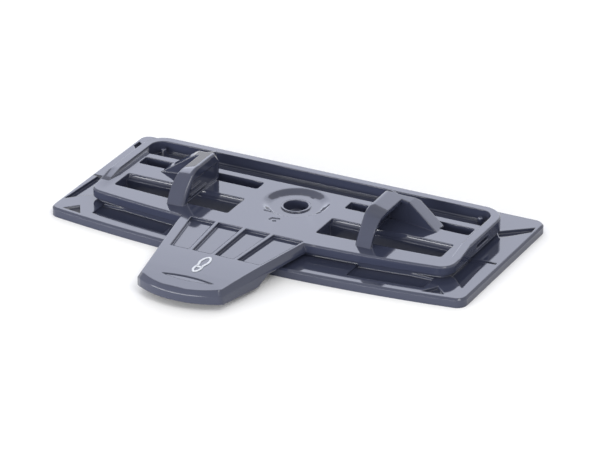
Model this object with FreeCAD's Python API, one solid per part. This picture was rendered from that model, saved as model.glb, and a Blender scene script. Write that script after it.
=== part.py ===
"""Mop pad tray for an upright floor mop, moulded in one piece.

A bowed base plate carries a raised deck. The deck has four steam slots, a trough along the back,
a round steam port in a shallow dish, two latch hooks and a foot pedal that reaches out in front.
Millimetres. +X is the tray's right, +Y its back, +Z up. The plate rests on Z = 0, and the origin
is under the middle of the whole part's box.
"""
import FreeCAD
import Part

import math
import os

# Base plate
plate_length = 290.0
plate_depth = 124.0
plate_front = -63.5
plate_front_bow = 12.0
plate_height = 6.0
plate_corner_r = 7.0
plate_edge_cut = 1.2
skirt_wall = 3.0
plate_roof = 1.8
lip_front = 8.0
lip_side = 6.0
pocket_depth = 2.0
pocket_front_inner = 66.0
pocket_front_outer = 116.0
pocket_rear_half = 104.0
left_pocket_reach = 4.0
left_pocket_shift = 5.5

# Side, corner and slanting pockets of the plate. Widths are shares of the gap from deck wall to lip,
# and the last two are measured from the plate's corners
side_pocket_back = -9.0
side_pocket_front = -36.0
side_pocket_tip_y = -48.5
side_pocket_heel_y = -38.5
side_pocket_back_share = 0.71
side_pocket_tip_share = 0.87
side_pocket_heel_share = 0.26
side_groove_half = 0.9
side_groove_edge = 3.5
corner_pocket = [(28.0, 0.3), (22.0, 10.5), (14.2, 2.5)]
slant_pocket = [(22.0, 27.5), (2.8, 11.5), (2.4, 18.5), (17.0, 35.0)]

# Raised deck and its flange
deck_height = 15.0
deck_length = 254.0
deck_front = -44.4
deck_back = 40.7
deck_front_bow = 10.4
deck_corner_r = 15.0
deck_front_corner_r = 10.0
flange_height = 5.8
flange_overhang = 3.5
wall = 2.4
rim_rise = 3.0
rim_width = 6.2
rim_edge_cut = 0.8
rim_fade_length = 20.0

# Openings of the deck
slot_inner_x = 31.0
slot_outer_x = 117.0
front_slot_outer_x = 115.0
front_slot_back = -13.5
front_slot_front_inner = -37.0
front_slot_front_outer = -32.5
rear_slot_front = 3.0
rear_slot_back = 13.0
slot_corner_r = 1.5
ledge_drop = 3.2
ledge_width = 3.0
trough_front = 19.0
trough_floor = 10.0
trough_ledge_rise = 1.6
trough_ledge_width = 1.4
post_r = 1.7
post_height = 5.0
post_x = 113.0
post_y = 29.0

# Clip windows in the flange's ends
window_front = -6.0
window_back = 11.0
window_sill = 2.4
window_head = 0.6
window_wall = 0.5

# Steam port
port_y = -3.3
dish_r = 22.0
dish_flat_r = 15.5
dish_drop = 3.0
port_r = 8.0
port_collar_r = 9.6
port_collar_rise = 0.7
port_depth = 6.5
jet_r = 4.0

# Latch hooks, given for the right one
hook_inner_x = 60.0
hook_outer_x = 71.5
hook_height = 20.2
hook_wall = 2.4
hook_foot_y = -42.5
hook_middle_y = -33.4
hook_middle_height = 11.5
hook_shoulder_inner_y = -25.0
hook_shoulder_outer_y = -14.5
hook_outer_fall = 5.0
hook_pad_front_y = -12.0
hook_back_y = 6.0
hook_back_slant_y = 1.5
hook_back_slant_height = 12.0
pad_slope = 0.363
arm_slope = 0.655
hook_knee_x = 76.5
arm_root_front_x = 75.5
arm_root_front = 2.6
arm_root_back_x = 79.5
arm_root_back = 12.8
arm_foot_x = 99.5
arm_foot_front = -2.9
arm_foot_back = 7.8
arm_web = 1.8
hook_recess_depth = 1.2
hook_recess_margin = 5.0
hook_recess_bottom = 1.0
hook_recess_top = 12.0
hook_rib_thick = 1.2
hook_rib_front = -31.0
hook_rib_pitch = 4.4
hook_rib_length = 21.0
hook_rib_step = 7.3

# Foot pedal
pedal_x = -12.0
pedal_root_y = -40.0
pedal_tip_y = -133.6
pedal_root_width = 96.0
pedal_tip_width = 59.4
pedal_tip_bow = 9.0
pedal_edge_drop = 4.5
pedal_edge_inset = 2.2
pedal_skirt_bottom = 8.8
pedal_toe_step_y = -91.0
pedal_toe_step_run = 9.5
pedal_toe_bottom = 3.6
pedal_tip_bottom = 5.5
pedal_bend_y = -95.0
pedal_bend_drop = 1.5
pedal_bend_middle_drop = 0.4
panel_count = 4
panel_back_y = -51.5
panel_front_y = -93.0
panel_back_left = -48.9
panel_back_pitch = 19.4
panel_front_left = -41.1
panel_front_pitch = 15.6
panel_step = 2.0
panel_rib = 2.6
panel_margin = 1.8
lens_x = -10.0
lens_y = -128.0
lens_half_length = 18.0
lens_half_width = 2.6
lens_depth = 0.5

# Ribs under the deck and the pedal
rib_wall = 2.0
rib_clearance = 0.6
cross_rib_count = 4
pedal_rib_count = 2

# Worked out from the sizes above
half_length = plate_length / 2
plate_back = plate_front + plate_depth
deck_half = deck_length / 2
wall_half = deck_half - flange_overhang
rim_height = deck_height + rim_rise
overlap = 1.0


def vec(x, y, z=0.0):
    return FreeCAD.Vector(x, y, z)


def line(a, b):
    return Part.LineSegment(a, b).toShape()


def bowed_wire(half_x, front, back, bow, z):
    """A rectangle with straight sides and back, and a front that bows outwards by an arc."""
    left_front = vec(-half_x, front, z)
    right_front = vec(half_x, front, z)
    right_back = vec(half_x, back, z)
    left_back = vec(-half_x, back, z)
    front_arc = Part.Arc(left_front, vec(0, front - bow, z), right_front).toShape()
    return Part.Wire([front_arc, line(right_front, right_back), line(right_back, left_back),
                      line(left_back, left_front)])


def upright_edges(solid):
    """Edges that run straight up."""
    found = []
    for edge in solid.Edges:
        first, last = edge.Vertexes[0].Point, edge.Vertexes[-1].Point
        flat = math.hypot(last.x - first.x, last.y - first.y)
        if flat < 1e-6 and abs(last.z - first.z) > 1e-6:
            found.append(edge)
    return found


def edges_at(solid, z):
    """Edges that lie wholly at one height."""
    return [edge for edge in solid.Edges
            if abs(edge.BoundBox.ZMin - z) < 1e-6 and abs(edge.BoundBox.ZMax - z) < 1e-6]


def bowed_block(half_x, front, back, bow, front_r, back_r, bottom, top):
    """A block of the bowed outline with rounded upright corners."""
    block = Part.Face(bowed_wire(half_x, front, back, bow, bottom)).extrude(vec(0, 0, top - bottom))
    for radius, behind in ((front_r, False), (back_r, True)):
        corners = [edge for edge in upright_edges(block)
                   if abs(abs(edge.Vertexes[0].X) - half_x) < 1e-6
                   and (edge.Vertexes[0].Y > (front + back) / 2) == behind]
        block = block.makeFillet(radius, corners)
    return block


def box(x0, x1, y0, y1, z0, z1):
    return Part.makeBox(x1 - x0, y1 - y0, z1 - z0, vec(x0, y0, z0))


def prism(points, bottom, top):
    """A straight prism over a polygon of (x, y) points."""
    corners = [vec(x, y, bottom) for x, y in points]
    return Part.Face(Part.makePolygon(corners + corners[:1])).extrude(vec(0, 0, top - bottom))


def side_prism(points, x0, x1):
    """A prism along X over a polygon of (y, z) points."""
    corners = [vec(x0, y, z) for y, z in points]
    return Part.Face(Part.makePolygon(corners + corners[:1])).extrude(vec(x1 - x0, 0, 0))


def mirrored(solid):
    return solid.mirror(vec(0, 0, 0), vec(1, 0, 0))


def both_sides(solid):
    return [solid, mirrored(solid)]


# Base plate

def base_plate():
    block = bowed_block(half_length, plate_front, plate_back, plate_front_bow, plate_corner_r,
                        plate_corner_r, 0, plate_height)
    return block.makeChamfer(plate_edge_cut, edges_at(block, plate_height))


def plate_cavity():
    """The space under the plate, inside its skirt."""
    return bowed_block(half_length - skirt_wall, plate_front + skirt_wall, plate_back - skirt_wall,
                       plate_front_bow, plate_corner_r - skirt_wall, plate_corner_r - skirt_wall,
                       -overlap, plate_height - pocket_depth - plate_roof)


def plate_pockets():
    """Shallow pockets in the plate's top, between its lip and the deck's wall."""
    floor = plate_height - pocket_depth
    top = plate_height + overlap
    ring = bowed_block(half_length - lip_side, plate_front + lip_front, plate_back - lip_side,
                       plate_front_bow, plate_corner_r, plate_corner_r, floor, top)
    front = ring.common(box(pocket_front_inner, pocket_front_outer, -plate_depth, deck_front, floor, top))
    front_left = mirrored(ring.common(box(pocket_front_inner - left_pocket_reach, pocket_front_outer,
                                          -plate_depth, deck_front, floor, top)))
    rear = ring.common(box(-pocket_rear_half, pocket_rear_half, deck_back - overlap, plate_depth, floor, top))
    gap = half_length - lip_side - wall_half
    side = prism([(wall_half - overlap, side_pocket_back),
                  (wall_half + gap * side_pocket_back_share, side_pocket_back),
                  (wall_half + gap * side_pocket_tip_share, side_pocket_tip_y),
                  (wall_half + gap * side_pocket_heel_share, side_pocket_heel_y),
                  (wall_half - overlap, side_pocket_front)], floor, top)
    side_groove = box(wall_half - overlap, half_length - side_groove_edge,
                      side_pocket_back - side_groove_half, side_pocket_back + side_groove_half, floor, top)
    corner = prism([(half_length - x, plate_front + y) for x, y in corner_pocket], floor, top)
    slant = prism([(half_length - x, plate_back - y) for x, y in slant_pocket], floor, top)
    pockets = [front, front_left, rear] + both_sides(slant)
    for shape in (side, side_groove, corner):
        left = mirrored(shape)
        left.translate(vec(-left_pocket_shift, 0, 0))
        pockets += [shape, left]
    deck_foot = deck_outline_block(flange_overhang, floor - overlap, top + overlap)
    return [pocket.cut(deck_foot) for pocket in pockets]


# Deck

def deck_outline_block(inset, bottom, top):
    """A block of the deck's outline, pulled in on all sides."""
    return bowed_block(deck_half - inset, deck_front + inset, deck_back - inset, deck_front_bow,
                       deck_front_corner_r - inset, deck_corner_r - inset, bottom, top)


def inside_rim(front, bottom):
    """The space inside the rim, from the given front line back, with rounded back corners."""
    half_x = deck_half - rim_width
    block = box(-half_x, half_x, front, deck_back - rim_width, bottom, rim_height + overlap)
    corners = [edge for edge in upright_edges(block) if edge.Vertexes[0].Y > front + overlap]
    return block.makeFillet(deck_corner_r - rim_width, corners)


def rim():
    """The raised rim round the deck's back and sides. It fades out towards the front."""
    solid = deck_outline_block(0, deck_height - flange_height / 2, rim_height)
    solid = solid.makeChamfer(rim_edge_cut, edges_at(solid, rim_height))
    solid = solid.cut(inside_rim(-plate_depth, 0))
    fade_start = deck_front + deck_front_corner_r
    fade = side_prism([(-plate_depth, deck_height - overlap), (fade_start, deck_height - overlap),
                       (fade_start + rim_fade_length, rim_height),
                       (fade_start + rim_fade_length, rim_height + overlap),
                       (-plate_depth, rim_height + overlap)], -plate_length, plate_length)
    return solid.cut(fade)


def deck_shell():
    """The deck's wall, its overhanging flange and the raised rim, all solid inside."""
    wall_block = deck_outline_block(flange_overhang, plate_roof, deck_height)
    flange = deck_outline_block(0, deck_height - flange_height, deck_height)
    flange = flange.makeChamfer(rim_edge_cut, edges_at(flange, deck_height))
    return wall_block.fuse([flange, rim()])


def deck_cavity():
    """The space under the deck, inside its wall."""
    return deck_outline_block(flange_overhang + wall, -overlap, deck_height - wall)


def front_slot(grow, bottom, top):
    """The right front slot's prism. Its front edge runs slightly slanted, as the flange bows."""
    return prism([(slot_inner_x - grow, front_slot_front_inner - grow),
                  (front_slot_outer_x + grow, front_slot_front_outer - grow),
                  (front_slot_outer_x + grow, front_slot_back + grow),
                  (slot_inner_x - grow, front_slot_back + grow)], bottom, top)


def rear_slot(grow, bottom, top):
    return box(slot_inner_x - grow, slot_outer_x + grow, rear_slot_front - grow,
               rear_slot_back + grow, bottom, top)


def rounded(block):
    return block.makeFillet(slot_corner_r, upright_edges(block))


def slot_ledge():
    """The step in a front slot's back wall."""
    top = deck_height - ledge_drop
    return box(slot_inner_x - overlap, front_slot_outer_x + overlap, front_slot_back - ledge_width,
               front_slot_back + overlap, rib_clearance, top)


def trough():
    """The trough between the deck's slots and the rim. It is as long as the space inside the rim."""
    return inside_rim(trough_front, trough_floor)


def trough_ledge():
    """A low bead along the foot of the trough's back wall."""
    back = deck_back - rim_width
    half_x = deck_half - deck_corner_r
    return box(-half_x, half_x, back - trough_ledge_width, back + overlap,
               trough_floor - overlap, trough_floor + trough_ledge_rise)


def trough_post():
    """A short round post in the trough's right back corner."""
    return Part.makeCylinder(post_r, post_height + overlap, vec(post_x, post_y, trough_floor - overlap))


def under_structure():
    """What stays solid under the deck: slot walls, the trough's floor, the port's boss and ribs."""
    keep = []
    for solid in (front_slot(wall, rib_clearance, deck_height), rear_slot(wall, rib_clearance, deck_height)):
        keep += both_sides(solid)
    keep.append(box(-deck_half, deck_half, trough_front - wall, deck_back,
                    trough_floor - wall, deck_height))
    boss_r = dish_r + wall
    keep.append(Part.makeCylinder(boss_r, deck_height - wall - dish_drop + overlap,
                                  vec(0, port_y, deck_height - dish_drop - wall)))
    keep.append(Part.makeCylinder(port_r + wall, deck_height, vec(0, port_y, rib_clearance)))
    span = slot_inner_x - wall
    for index in range(cross_rib_count):
        x = -span + 2 * span * (index + 0.5) / cross_rib_count
        keep.append(box(x - rib_wall / 2, x + rib_wall / 2, -plate_depth, plate_depth,
                        rib_clearance, deck_height))
    return keep


def port_cuts():
    """Dish, bore and jet hole of the steam port."""
    floor = deck_height - dish_drop
    dish = Part.makeCone(dish_flat_r, dish_r, dish_drop, vec(0, port_y, floor))
    bore = Part.makeCylinder(port_r, port_depth + overlap, vec(0, port_y, floor - port_depth + port_collar_rise))
    jet = Part.makeCylinder(jet_r, deck_height, vec(0, port_y, 0))
    return dish, bore, jet


def port_collar():
    floor = deck_height - dish_drop
    return Part.makeCylinder(port_collar_r, port_collar_rise + overlap,
                             vec(0, port_y, floor - overlap))


def flange_window():
    """The clip window in the right end of the flange."""
    return box(wall_half + window_wall, deck_half + overlap, window_front, window_back,
               deck_height - flange_height + window_sill, deck_height - window_head)


# Latch hooks

def hook_slope_block(drop):
    """Everything below the hook's top, which slopes gently over the pad and steeply on the arm."""
    start_x = hook_inner_x - overlap
    far_x = arm_foot_x * 1.2
    start_z = deck_height + hook_height - drop
    knee_z = start_z - pad_slope * (hook_knee_x - start_x)
    far_z = max(knee_z - arm_slope * (far_x - hook_knee_x), overlap)
    corners = [vec(start_x, -plate_depth, 0), vec(far_x, -plate_depth, 0), vec(far_x, -plate_depth, far_z),
               vec(hook_knee_x, -plate_depth, knee_z), vec(start_x, -plate_depth, start_z)]
    face = Part.Face(Part.makePolygon(corners + corners[:1]))
    return face.extrude(vec(0, 2 * plate_depth, 0))


def hook_side_wire(x, inset):
    """The hook's side view at x: a curved front leg line, pulled back by inset, and a straight back
    edge that leans in near the top. The leg reaches the pad further back towards the outside."""
    share = (x - hook_inner_x) / (hook_outer_x - hook_inner_x)
    bottom = deck_height - overlap
    top = deck_height + hook_height + overlap - hook_outer_fall * share
    shoulder_y = hook_shoulder_inner_y + (hook_shoulder_outer_y - hook_shoulder_inner_y) * share
    foot = vec(x, hook_foot_y + inset, bottom)
    middle = vec(x, hook_middle_y + inset, deck_height + hook_middle_height)
    shoulder = vec(x, shoulder_y + inset, top)
    back_top = vec(x, hook_back_slant_y, top)
    back_bend = vec(x, hook_back_y, deck_height + hook_back_slant_height)
    back_foot = vec(x, hook_back_y, bottom)
    return Part.Wire([Part.Arc(foot, middle, shoulder).toShape(), line(shoulder, back_top),
                      line(back_top, back_bend), line(back_bend, back_foot), line(back_foot, foot)])


def hook_side(inner_x, outer_x, inset):
    """A solid between the hook's side views at two places."""
    return Part.makeLoft([hook_side_wire(inner_x, inset), hook_side_wire(outer_x, inset)], True, True)


def hook_arm(below_top, below_skin):
    """The pad's outer part and the sloping arm, with a web under the arm's front edge."""
    plan = [(hook_inner_x + overlap, hook_pad_front_y), (hook_outer_x, hook_pad_front_y),
            (hook_outer_x, hook_back_slant_y), (arm_root_front_x, arm_root_front),
            (arm_foot_x, arm_foot_front), (arm_foot_x, arm_foot_back),
            (arm_root_back_x, arm_root_back), ((hook_inner_x + arm_root_back_x) / 2, hook_back_y),
            (hook_inner_x + overlap, hook_back_slant_y)]
    bottom = deck_height - overlap / 2
    top = deck_height + hook_height
    skin = prism(plan, bottom, top).common(below_top).cut(below_skin)
    web = prism([(hook_inner_x + overlap, arm_root_front + overlap), (arm_root_front_x, arm_root_front),
                 (arm_foot_x, arm_foot_front), (arm_foot_x, arm_foot_front + arm_web),
                 (arm_root_front_x, arm_root_front + arm_web),
                 (hook_inner_x + overlap, arm_root_front + overlap + arm_web)], bottom, top)
    return [skin, web.common(below_top)]


def hook_recess():
    """The sunk field in the hook's inner face, less its two ribs."""
    back = hook_back_y - hook_wall
    bottom = deck_height + hook_recess_bottom
    side = hook_side(hook_inner_x - overlap, hook_inner_x + hook_recess_depth, hook_recess_margin)
    field = side.common(box(0, hook_outer_x, -plate_depth, back, bottom, deck_height + hook_recess_top))
    for index in range(2):
        z = bottom + hook_rib_thick + hook_rib_pitch * index
        end = hook_rib_front + hook_rib_length - hook_rib_step * index
        field = field.cut(box(0, hook_outer_x, hook_rib_front, end, z, z + hook_rib_thick))
    return field


def hook():
    """The right hook: an inner web, a curved front leg, a pad on top and an arm that slopes outwards."""
    below_top = hook_slope_block(0)
    below_skin = hook_slope_block(hook_wall)
    body = hook_side(hook_inner_x, hook_outer_x, 0).common(below_top)
    hollow = hook_side(hook_inner_x + hook_wall, hook_outer_x + overlap, hook_wall).common(below_skin)
    hollow.translate(vec(0, 0, -overlap / 4))
    body = body.cut(hollow)
    return body.fuse(hook_arm(below_top, below_skin)).cut(hook_recess())


# Foot pedal

def pedal_wire(inset, z, tip_inset=None):
    """The pedal's outline at height z, pulled in from its true edge."""
    tip_inset = inset if tip_inset is None else tip_inset
    root_half = pedal_root_width / 2 - inset
    tip_half = pedal_tip_width / 2 - inset
    root_left = vec(pedal_x - root_half, pedal_root_y, z)
    root_right = vec(pedal_x + root_half, pedal_root_y, z)
    tip_right = vec(pedal_x + tip_half, pedal_tip_y + tip_inset, z)
    tip_left = vec(pedal_x - tip_half, pedal_tip_y + tip_inset, z)
    tip_middle = vec(pedal_x, pedal_tip_y - pedal_tip_bow + tip_inset, z)
    arc = Part.Arc(tip_right, tip_middle, tip_left).toShape()
    return Part.Wire([line(root_left, root_right), line(root_right, tip_right), arc,
                      line(tip_left, root_left)])


def pedal_side(drop, bottom_drop):
    """The pedal's side view as a face: flat, then bent gently down towards the toe."""
    end_y = pedal_tip_y - pedal_tip_bow - overlap
    top = deck_height - drop
    root = vec(-plate_length, pedal_root_y, top)
    bend = vec(-plate_length, pedal_bend_y, top)
    middle = vec(-plate_length, (pedal_bend_y + end_y) / 2, top - pedal_bend_middle_drop)
    end = vec(-plate_length, end_y, top - pedal_bend_drop)
    step_end = pedal_toe_step_y - pedal_toe_step_run
    low = [vec(-plate_length, end_y, pedal_tip_bottom - bottom_drop),
           vec(-plate_length, step_end, pedal_toe_bottom - bottom_drop),
           vec(-plate_length, pedal_toe_step_y, pedal_skirt_bottom - bottom_drop),
           vec(-plate_length, pedal_root_y, pedal_skirt_bottom - bottom_drop)]
    edges = [line(root, bend), Part.Arc(bend, middle, end).toShape(), line(end, low[0])]
    edges += [line(low[index], low[index + 1]) for index in range(3)]
    edges.append(line(low[3], root))
    return Part.Face(Part.Wire(edges)).extrude(vec(2 * plate_length, 0, 0))


def pedal():
    crease = deck_height - pedal_edge_drop
    lower = Part.Face(pedal_wire(0, 0)).extrude(vec(0, 0, crease))
    upper = Part.makeLoft([pedal_wire(0, crease), pedal_wire(pedal_edge_inset, deck_height)], True, True)
    solid = lower.fuse(upper).common(pedal_side(0, 0))
    hollow = Part.Face(pedal_wire(wall + pedal_edge_inset, 0)).extrude(vec(0, 0, deck_height))
    hollow = hollow.common(pedal_side(wall + panel_step, deck_height))
    ribs = []
    for index in range(pedal_rib_count):
        x = pedal_x + pedal_tip_width * ((index + 1) / (pedal_rib_count + 1) - 0.5)
        ribs.append(box(x - rib_wall / 2, x + rib_wall / 2, pedal_tip_y - pedal_tip_bow,
                        pedal_root_y, 0, deck_height))
    return solid.cut(hollow.cut(ribs))


def pedal_half_at(y):
    """Half the pedal's top width at y."""
    share = (pedal_root_y - y) / (pedal_root_y - pedal_tip_y)
    return (pedal_root_width + (pedal_tip_width - pedal_root_width) * share) / 2 - pedal_edge_inset


def pedal_panels():
    """Four sunk panels with flat floors."""
    floor = deck_height - panel_step
    right_edge = [pedal_x + pedal_half_at(y) - panel_margin for y in (panel_back_y, panel_front_y)]
    cuts = []
    for index in range(panel_count):
        left_back = panel_back_left + panel_back_pitch * index
        left_front = panel_front_left + panel_front_pitch * index
        right_back = left_back + panel_back_pitch - panel_rib
        right_front = left_front + panel_front_pitch - panel_rib
        if index == panel_count - 1:
            right_back, right_front = right_edge
        cuts.append(prism([(left_back, panel_back_y), (left_front, panel_front_y),
                           (right_front, panel_front_y), (right_back, panel_back_y)],
                          floor, deck_height + overlap))
    return cuts


def pedal_lens():
    """A shallow lens-shaped dimple near the toe."""
    floor = deck_height - pedal_bend_drop - lens_depth
    left = vec(lens_x - lens_half_length, lens_y, floor)
    right = vec(lens_x + lens_half_length, lens_y, floor)
    ahead = Part.Arc(left, vec(lens_x, lens_y - lens_half_width, floor), right).toShape()
    behind = Part.Arc(right, vec(lens_x, lens_y + lens_half_width, floor), left).toShape()
    return Part.Face(Part.Wire([ahead, behind])).extrude(vec(0, 0, deck_height - floor))


# Assembly of the one moulding

def tray():
    solid = base_plate().fuse([deck_shell(), pedal()])
    space_under_deck = deck_cavity().cut(under_structure())
    solid = solid.cut([plate_cavity().cut(deck_cavity()), space_under_deck])
    dish, bore, jet = port_cuts()
    solid = solid.cut(plate_pockets() + [trough(), dish])
    solid = solid.fuse(both_sides(hook()))
    for slot in (front_slot(0, -overlap, deck_height), rear_slot(0, -overlap, deck_height)):
        solid = solid.cut(both_sides(rounded(slot)))
    solid = solid.fuse(both_sides(slot_ledge()) + both_sides(trough_post())
                       + [trough_ledge(), port_collar()])
    solid = solid.cut([bore, jet, pedal_lens()] + pedal_panels() + both_sides(flange_window()))
    frontmost = min(pedal_tip_y - pedal_tip_bow, plate_front - plate_front_bow)
    solid.translate(vec(0, -(frontmost + plate_back) / 2, 0))
    return solid.removeSplitter()


def main():
    os.makedirs("parts", exist_ok=True)
    shape = tray()
    if len(shape.Solids) == 1:
        shape = shape.Solids[0]
    print("solids", len(shape.Solids), "valid", shape.isValid(), "volume", round(shape.Volume))
    limits = shape.BoundBox
    print("box", [round(value, 2) for value in (limits.XMin, limits.XMax, limits.YMin, limits.YMax,
                                               limits.ZMin, limits.ZMax)])
    shape.exportStep("parts/tray.step")


main()
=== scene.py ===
"""Mop pad tray of glossy black moulded plastic, on a white floor under soft studio light.

The tray is one moulding. Its edges get the small rounding that a mould gives, and two small things are
added: a raised shoe-print sign on the pedal and the raised strokes beside the steam port. Metres. +X is
the tray's right, +Y its back, +Z up.
"""
import math

import bmesh
import bpy
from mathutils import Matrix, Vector
from mathutils.bvhtree import BVHTree


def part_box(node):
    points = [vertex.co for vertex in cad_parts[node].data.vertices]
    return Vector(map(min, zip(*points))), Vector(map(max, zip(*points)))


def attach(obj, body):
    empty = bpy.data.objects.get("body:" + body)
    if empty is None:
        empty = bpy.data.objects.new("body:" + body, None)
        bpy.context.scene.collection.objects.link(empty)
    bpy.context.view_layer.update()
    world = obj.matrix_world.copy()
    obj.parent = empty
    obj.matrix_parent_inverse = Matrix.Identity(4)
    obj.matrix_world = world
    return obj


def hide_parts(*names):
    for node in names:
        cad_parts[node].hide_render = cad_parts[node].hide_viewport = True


MM = 0.001

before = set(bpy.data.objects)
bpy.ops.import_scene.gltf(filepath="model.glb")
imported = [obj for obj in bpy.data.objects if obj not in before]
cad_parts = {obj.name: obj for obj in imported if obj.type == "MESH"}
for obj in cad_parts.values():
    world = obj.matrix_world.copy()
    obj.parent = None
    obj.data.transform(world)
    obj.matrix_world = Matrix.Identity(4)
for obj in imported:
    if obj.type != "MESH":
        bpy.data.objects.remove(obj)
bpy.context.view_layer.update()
low, high = (Vector(corner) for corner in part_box("tray"))
size = high - low

# How far the plate's own axes lie behind the middle of the tray's box
plate_shift = 41.05 * MM


def place(x, y, z=0.0):
    """A point in the tray's own plate axes, given in millimetres."""
    return Vector((x * MM, y * MM + plate_shift, z * MM))


# Colours and materials

def linear(code):
    """A linear colour from an sRGB hex value."""
    channels = [int(code[start:start + 2], 16) / 255 for start in (1, 3, 5)]
    curved = [c / 12.92 if c <= 0.04045 else ((c + 0.055) / 1.055) ** 2.4 for c in channels]
    return (*curved, 1.0)


def add_node(tree, kind, links=(), **settings):
    """A node with its settings. Links are (input, output socket) pairs."""
    node = tree.nodes.new(kind)
    for name, value in settings.items():
        if hasattr(node, name):
            setattr(node, name, value)
        else:
            node.inputs[name.replace("_", " ")].default_value = value
    for name, socket in links:
        tree.links.new(socket, node.inputs[name])
    return node


def new_material(name):
    material = bpy.data.materials.new(name)
    material.use_nodes = True
    tree = material.node_tree
    tree.nodes.clear()
    return material, tree


def finish_material(tree, surface):
    output = tree.nodes.new("ShaderNodeOutputMaterial")
    tree.links.new(surface, output.inputs["Surface"])


def gloss_abs():
    """Injection-moulded ABS, polished mould: a deep blue-black that mirrors the studio softly.

    The slow waves that a moulding shrinks into stir its reflections, and its edges have a mould's rounding.
    """
    wave_length, wave_height, edge_radius = 14 * MM, 0.2 * MM, 1.0 * MM
    material, tree = new_material("gloss_moulded_abs")
    coords = add_node(tree, "ShaderNodeTexCoord")
    waviness = add_node(tree, "ShaderNodeTexNoise", [("Vector", coords.outputs["Object"])],
                        Scale=1 / wave_length, Detail=2.0)
    bump = add_node(tree, "ShaderNodeBump", [("Height", waviness.outputs["Fac"])],
                    Strength=0.03, Distance=wave_height)
    rounded = add_node(tree, "ShaderNodeBevel", [("Normal", bump.outputs["Normal"])],
                       samples=8, Radius=edge_radius)
    shader = add_node(tree, "ShaderNodeBsdfPrincipled", [("Normal", rounded.outputs["Normal"])],
                      Base_Color=linear("#373b4d"), Roughness=0.07, IOR=1.54)
    finish_material(tree, shader.outputs["BSDF"])
    return material


def sign_ink():
    """Silver-white printing ink on the raised sign: pale, with a dull sheen."""
    material, tree = new_material("silver_white_ink")
    shader = add_node(tree, "ShaderNodeBsdfPrincipled", Base_Color=linear("#c6cad0"), Roughness=0.35)
    finish_material(tree, shader.outputs["BSDF"])
    return material


def seen_by_eye(tree):
    """1 for what the camera sees, straight or in a mirror or glass, and 0 for plain light."""
    path = add_node(tree, "ShaderNodeLightPath")
    mirror = add_node(tree, "ShaderNodeMath", operation="MAXIMUM")
    tree.links.new(path.outputs["Is Camera Ray"], mirror.inputs[0])
    tree.links.new(path.outputs["Is Glossy Ray"], mirror.inputs[1])
    glass = add_node(tree, "ShaderNodeMath", operation="MAXIMUM")
    tree.links.new(mirror.outputs[0], glass.inputs[0])
    tree.links.new(path.outputs["Is Transmission Ray"], glass.inputs[1])
    return glass.outputs[0]


def floor_white():
    """Matt white studio floor that keeps the tray's shadow."""
    material, tree = new_material("white_floor")
    shader = add_node(tree, "ShaderNodeBsdfPrincipled", Base_Color=linear("#ffffff"), Roughness=1.0)
    finish_material(tree, shader.outputs["BSDF"])
    return material


def smooth_over(obj, angle):
    """Smooth shading, except over edges sharper than angle."""
    obj.data.shade_smooth()
    obj.data.set_sharp_from_angle(angle=angle)


def add_object(name, bm, material):
    mesh = bpy.data.meshes.new(name)
    bm.to_mesh(mesh)
    bm.free()
    mesh.materials.append(material)
    obj = bpy.data.objects.new(name, mesh)
    bpy.context.collection.objects.link(obj)
    return obj


# The moulding. Lengths without MM are millimetres, and points of the hooks' side view are (y, z)

edge_angle = math.radians(22)
flat_angle = math.radians(0.3)
merge_distance = 0.002
deck_top = 15.0
dimple_middle = (-10.0, -128.0)
dimple_half_length = 18.5
dimple_half_width = 3.0
dimple_low, dimple_high = 12.5, 13.5
dimple_lift = 0.8
hook_inner = 60.0
hook_width = 11.5
hook_pivot = Vector((-14.0, 16.0))
hook_round = 2.6
round_cuts = 5
fan_degrees = range(48, 182, 4)
skin_tolerance = 0.35
sharp_reach, shoulder_reach = 0.01, 6.0
leg_foot = Vector((-42.5, 14.0))
leg_middle = Vector((-33.4, 26.5))
inner_shoulder = Vector((-25.0, 36.2))
outer_shoulder = Vector((-14.5, 31.2))
leg_steps, bend_steps, pad_steps = 24, 10, 40
pad_height = 34.837
pad_low = 25.0
pad_slope = 0.363
pad_back = 9.0
abs_plastic = gloss_abs()
silver_ink = sign_ink()
cad_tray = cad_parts["tray"]


def merged_copy():
    """The CAD tray's mesh with its loose triangles merged."""
    bm = bmesh.new()
    bm.from_mesh(cad_tray.data)
    bmesh.ops.remove_doubles(bm, verts=bm.verts, dist=merge_distance * MM)
    return bm


def flatten_dimple(bm):
    """Brings the floor of the dimple near the pedal's toe close to the pedal's surface."""
    centre = place(*dimple_middle)
    for vert in bm.verts:
        aside, ahead = abs(vert.co.x - centre.x), abs(vert.co.y - centre.y)
        inside = aside < dimple_half_length * MM and ahead < dimple_half_width * MM
        if inside and dimple_low * MM < vert.co.z < dimple_high * MM:
            vert.co.z += dimple_lift * MM


# The hooks' skin: the solid's leg, shoulder and pad in a finer mesh

def circle_centre(a, b, c):
    """The centre of the circle through three points."""
    ab, ac = b - a, c - a
    turn = 2 * (ab.x * ac.y - ab.y * ac.x)
    aside = (ac.y * ab.length_squared - ab.y * ac.length_squared) / turn
    along = (ab.x * ac.length_squared - ac.x * ab.length_squared) / turn
    return a + Vector((aside, along))


def leg_arc(shoulder):
    """Points (y, z) up a hook's curved front leg to its shoulder."""
    centre = circle_centre(leg_foot, leg_middle, shoulder)
    first, last = leg_foot - centre, shoulder - centre
    turn = math.atan2(last.y, last.x) - math.atan2(first.y, first.x)
    turn = (turn + math.pi) % (2 * math.pi) - math.pi
    steps = [turn * step / leg_steps for step in range(leg_steps + 1)]
    return [centre + Vector((first.x * math.cos(a) - first.y * math.sin(a),
                             first.x * math.sin(a) + first.y * math.cos(a))) for a in steps]


inner_leg, outer_leg = leg_arc(inner_shoulder), leg_arc(outer_shoulder)


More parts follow.
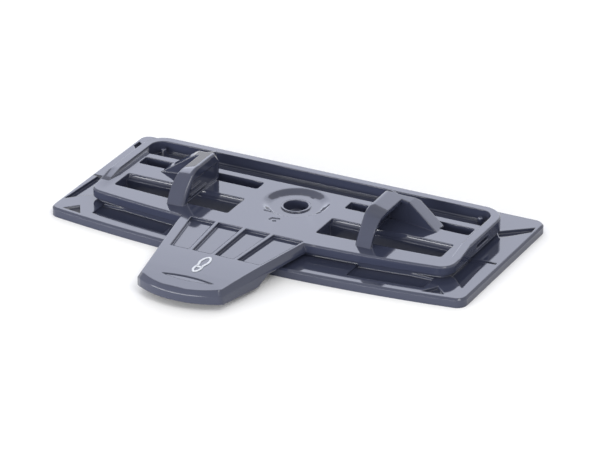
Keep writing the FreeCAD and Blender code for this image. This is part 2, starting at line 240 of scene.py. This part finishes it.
def skin_line(aside, reach):
    """The line of leg and pad at a distance from the inner side, its shoulder rounded over reach."""
    share = aside / hook_width
    top = pad_height - pad_slope * aside
    leg = [a.lerp(b, share) for a, b in zip(inner_leg, outer_leg)]
    count = next(index for index, point in enumerate(leg) if point.y > top)
    below, above = leg[count - 1], leg[count]
    corner = below.lerp(above, (top - below.y) / (above.y - below.y))
    before = corner + (below - above).normalized() * reach
    after = corner + Vector((reach, 0))
    shares = [step / bend_steps for step in range(bend_steps + 1)]
    bend = [before.lerp(corner, t).lerp(corner.lerp(after, t), t) for t in shares]
    pad = [after.lerp(Vector((pad_back, top)), step / pad_steps) for step in range(1, pad_steps + 1)]
    return [point for point in leg[:count] if point.y < before.y] + bend + pad


def skin_radius(line, angle):
    """How far the line lies from the hook's pivot in the direction of angle."""
    rays = [(math.atan2(point.y - hook_pivot.y, point.x - hook_pivot.x) % (2 * math.pi),
             (point - hook_pivot).length) for point in line]
    for (a, far_a), (b, far_b) in zip(rays, rays[1:]):
        if b <= angle <= a:
            return far_a + (far_b - far_a) * (a - angle) / max(a - b, 1e-9)
    return None


def hook_place(vert, side):
    """A vertex's distance from the hook's inner side, its angle and its distance from the pivot."""
    local = Vector((vert.co.y - plate_shift, vert.co.z)) / MM - hook_pivot
    return side * vert.co.x / MM - hook_inner, math.atan2(local.y, local.x) % (2 * math.pi), local.length


def on_skin(vert, side):
    """Whether a vertex lies on the solid's leg or pad, whose shoulder is sharp."""
    aside, angle, radius = hook_place(vert, side)
    if not -0.05 < aside < hook_width + 0.05:
        return False
    line_radius = skin_radius(skin_line(aside, sharp_reach), angle)
    return line_radius is not None and abs(radius - line_radius) < skin_tolerance


def cut_faces(bm, faces, point, normal):
    """Cuts the faces with a plane and gives back all their pieces, in the same order every time."""
    geom = dict.fromkeys(item for face in faces for item in (face, *face.edges, *face.verts))
    result = bmesh.ops.bisect_plane(bm, geom=list(geom), dist=0.001 * MM, plane_co=point, plane_no=normal)
    return [item for item in result["geom"] if isinstance(item, bmesh.types.BMFace)]


def along_cut(edge, side):
    """Whether an edge of the skin runs along one of the cuts."""
    (aside_a, angle_a, _), (aside_b, angle_b, _) = (hook_place(vert, side) for vert in edge.verts)
    return abs(aside_a - aside_b) < 0.02 or abs(angle_a - angle_b) < math.radians(0.1)


def refine_hook(bm, side):
    """Cuts one hook's skin finely and lays it on its rounded form."""
    pad = [face for face in bm.faces if face.normal.z > 0.9
           and face.calc_center_median().z > pad_low * MM and side * face.calc_center_median().x > 0]
    cut_faces(bm, pad, (side * (hook_inner + hook_width) * MM, 0, 0), (1, 0, 0))
    skin = [face for face in bm.faces if face.calc_center_median().z > (deck_top + 0.2) * MM
            and all(on_skin(vert, side) for vert in face.verts)]
    for step in range(1, round_cuts + 1):
        aside = hook_round * (1 - math.cos(math.pi / 2 * step / round_cuts))
        skin = cut_faces(bm, skin, (side * (hook_inner + aside) * MM, 0, 0), (1, 0, 0))
    for turn in fan_degrees:
        angle = math.radians(turn)
        skin = cut_faces(bm, skin, place(0, hook_pivot.x, hook_pivot.y), (0, -math.sin(angle), math.cos(angle)))
    faces = set(skin)
    askew = [edge for edge in dict.fromkeys(edge for face in skin for edge in face.edges)
             if all(face in faces for face in edge.link_faces) and not along_cut(edge, side)]
    bmesh.ops.dissolve_edges(bm, edges=askew, use_verts=True, use_face_split=False)
    for vert in bm.verts:
        if vert.co.z < (deck_top - 0.01) * MM or not on_skin(vert, side):
            continue
        aside, angle, radius = hook_place(vert, side)
        aside = min(max(aside, 0.0), hook_width)
        goal = skin_radius(skin_line(aside, shoulder_reach), angle)
        if goal is None:
            continue
        if aside < hook_round:
            goal -= hook_round - math.sqrt(hook_round ** 2 - (hook_round - aside) ** 2)
        new = hook_pivot + Vector((math.cos(angle), math.sin(angle))) * goal
        height = max(new.y, deck_top) * MM if vert.co.z > (deck_top + 0.01) * MM else vert.co.z
        vert.co.y, vert.co.z = new.x * MM + plate_shift, height


def moulding():
    """The CAD tray with a flatter dimple and with rounded hooks."""
    bm = merged_copy()
    flatten_dimple(bm)
    bmesh.ops.dissolve_limit(bm, angle_limit=flat_angle, verts=bm.verts, edges=bm.edges,
                             delimit={"NORMAL"})
    for side in (1, -1):
        refine_hook(bm, side)
    bm.normal_update()
    obj = add_object("tray_moulding", bm, abs_plastic)
    smooth_over(obj, edge_angle)
    flats = obj.modifiers.new("flat_faces_stay_flat", "WEIGHTED_NORMAL")
    flats.weight = 50
    flats.keep_sharp = True
    return obj


tray = moulding()
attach(tray, "root")
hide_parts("tray")

surface = BVHTree.FromBMesh(merged_copy())
slab_angle = math.radians(40)
slab_sink = 0.3 * MM


def draped(bm):
    """Lays a flat piece on the tray: each point's own z becomes its height over the surface."""
    for vert in bm.verts:
        start = Vector((vert.co.x, vert.co.y, high.z + size.z))
        hit = surface.ray_cast(start, Vector((0, 0, -1)))[0]
        vert.co.z += hit.z
    return bm


def raised(bm, height):
    """Turns flat faces into a low slab that reaches a little into the surface."""
    bmesh.ops.translate(bm, verts=bm.verts, vec=(0, 0, -slab_sink))
    top = bmesh.ops.extrude_face_region(bm, geom=bm.faces[:])
    verts = [item for item in top["geom"] if isinstance(item, bmesh.types.BMVert)]
    bmesh.ops.translate(bm, verts=verts, vec=(0, 0, height + slab_sink))
    bmesh.ops.recalc_face_normals(bm, faces=bm.faces)
    return bm


# Shoe-print sign on the pedal

sign_heel = place(-10.6, -119.2)
sign_length = 21.5 * MM
sign_line = 1.4 * MM
sign_height = 0.35 * MM
sole_width, waist_cut = 3.9, 1.4
waist_share, waist_spread = 0.42, 0.17
bar_share, bar_width = 0.34, 1.5 * MM


def sole_factor(share):
    """How wide a shoe print is against an oval, in millimetres, heel at 0 and toe at 1."""
    return sole_width - waist_cut * math.exp(-((share - waist_share) / waist_spread) ** 2)


def sole_half_width(share):
    return sole_factor(share) * math.sqrt(max(0.0, 1 - (2 * share - 1) ** 2)) * MM


def sole_outline():
    """The rim line of the shoe print."""
    bm = bmesh.new()
    bmesh.ops.create_circle(bm, cap_ends=True, segments=40, radius=1.0)
    for vert in bm.verts:
        share = (vert.co.y + 1) / 2
        vert.co = sign_heel + Vector((vert.co.x * sole_factor(share) * MM, share * sign_length, 0))
    inner = bm.faces[:]
    bmesh.ops.inset_region(bm, faces=inner, thickness=sign_line, use_boundary=True, use_even_offset=True)
    bmesh.ops.delete(bm, geom=inner, context="FACES")
    return bm


def sole_bar(bm, share, thickness):
    """A bar across the shoe print, between its heel and its sole."""
    half = sole_half_width(share) - sign_line / 2
    spot = sign_heel + Vector((0, share * sign_length, 0))
    made = bmesh.ops.create_grid(bm, x_segments=4, y_segments=1, size=1.0)
    for vert in made["verts"]:
        vert.co = spot + Vector((vert.co.x * half, vert.co.y * thickness / 2, 0))


def shoe_print():
    bm = sole_outline()
    sole_bar(bm, bar_share, bar_width)
    obj = add_object("shoe_print_sign", draped(raised(bm, sign_height)), silver_ink)
    smooth_over(obj, slab_angle)
    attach(obj, "root")


shoe_print()


# Small raised strokes beside the steam port

mark_strokes = [((-12.7, -22.5), (-7.8, -22.4)), ((-2.9, -30.4), (2.3, -29.5)),
                ((-0.9, -34.0), (1.4, -33.2)), ((-2.9, -30.4), (-3.6, -33.0)),
                ((17.9, -3.7), (19.8, 3.8)), ((18.6, -11.3), (20.4, -8.6))]
mark_width = 0.9 * MM
mark_height = 0.3 * MM


def port_marks():
    bm = bmesh.new()
    for first, last in mark_strokes:
        start, end = place(*first), place(*last)
        along = end - start
        across = Vector((-along.y, along.x, 0)).normalized() * mark_width / 2
        made = bmesh.ops.create_grid(bm, x_segments=4, y_segments=1, size=1.0)
        for vert in made["verts"]:
            vert.co = start + along * (vert.co.x + 1) / 2 + across * vert.co.y
    obj = add_object("port_marks", draped(raised(bm, mark_height)), abs_plastic)
    smooth_over(obj, slab_angle)
    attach(obj, "root")


port_marks()


# Studio

floor_bm = bmesh.new()
bmesh.ops.create_grid(floor_bm, x_segments=1, y_segments=1, size=6.0)
floor = add_object("floor", floor_bm, floor_white())


def studio_world():
    """White for what the camera and reflections see, and a soft even light otherwise."""
    world = bpy.data.worlds.new("studio")
    bpy.context.scene.world = world
    world.use_nodes = True
    tree = world.node_tree
    tree.nodes.clear()
    shown = seen_by_eye(tree)
    soft = add_node(tree, "ShaderNodeBackground", Color=linear("#ffffff"), Strength=0.7)
    white = add_node(tree, "ShaderNodeBackground", Color=linear("#ffffff"), Strength=1.0)
    mix = add_node(tree, "ShaderNodeMixShader", [("Fac", shown)])
    tree.links.new(soft.outputs[0], mix.inputs[1])
    tree.links.new(white.outputs[0], mix.inputs[2])
    output = tree.nodes.new("ShaderNodeOutputWorld")
    tree.links.new(mix.outputs[0], output.inputs["Surface"])


def softbox(name, direction, distance, width, height, radiance, colour="#ffffff"):
    """A rectangular lamp that faces the tray. Its power gives the stated brightness of its face."""
    lamp = bpy.data.lights.new(name, "AREA")
    lamp.color = linear(colour)[:3]
    lamp.shape = "RECTANGLE"
    lamp.size = width
    lamp.size_y = height
    lamp.energy = radiance * math.pi * width * height
    obj = bpy.data.objects.new(name, lamp)
    away = Vector(direction).normalized()
    obj.location = away * distance
    obj.rotation_euler = (-away).to_track_quat("-Z", "Y").to_euler()
    bpy.context.collection.objects.link(obj)


studio_world()
softbox("back_softbox", (-0.35, 0.85, 0.42), 1.7, 2.6, 0.9, 2.1, "#e2e8ff")
softbox("top_softbox", (0.55, -0.35, 0.75), 1.4, 0.6, 0.5, 5.0)
softbox("front_softbox", (-0.36, -1.0, 0.20), 1.8, 2.8, 0.42, 10.0)


# Camera

view_azimuth = math.radians(27.226)
view_elevation = math.radians(25.795)
view_distance = 2.6326
focal_pixels = 4160.6
photo_width = 594
axis_pixel_x, axis_pixel_y = 298.36, 221.58
centre_pixel_x, centre_pixel_y = 297.0, 230.5


def add_camera():
    """The fitted camera, moved sideways by what the photo's centre lies off the fitted axis."""
    data = bpy.data.cameras.new("camera")
    data.sensor_width = 36.0
    data.lens = focal_pixels / photo_width * data.sensor_width
    data.clip_end = 50.0
    camera = bpy.data.objects.new("camera", data)
    ahead = Vector((-math.sin(view_azimuth) * math.cos(view_elevation),
                    math.cos(view_azimuth) * math.cos(view_elevation),
                    -math.sin(view_elevation)))
    right = Vector((math.cos(view_azimuth), math.sin(view_azimuth), 0))
    up = right.cross(ahead)
    pixel = view_distance / focal_pixels
    move = right * (centre_pixel_x - axis_pixel_x) * pixel - up * (centre_pixel_y - axis_pixel_y) * pixel
    camera.location = place(0, 0) - ahead * view_distance + move
    camera.rotation_euler = (math.pi / 2 - view_elevation, 0, view_azimuth)
    bpy.context.collection.objects.link(camera)
    bpy.context.scene.camera = camera


add_camera()
bpy.context.scene.view_settings.view_transform = "Standard"
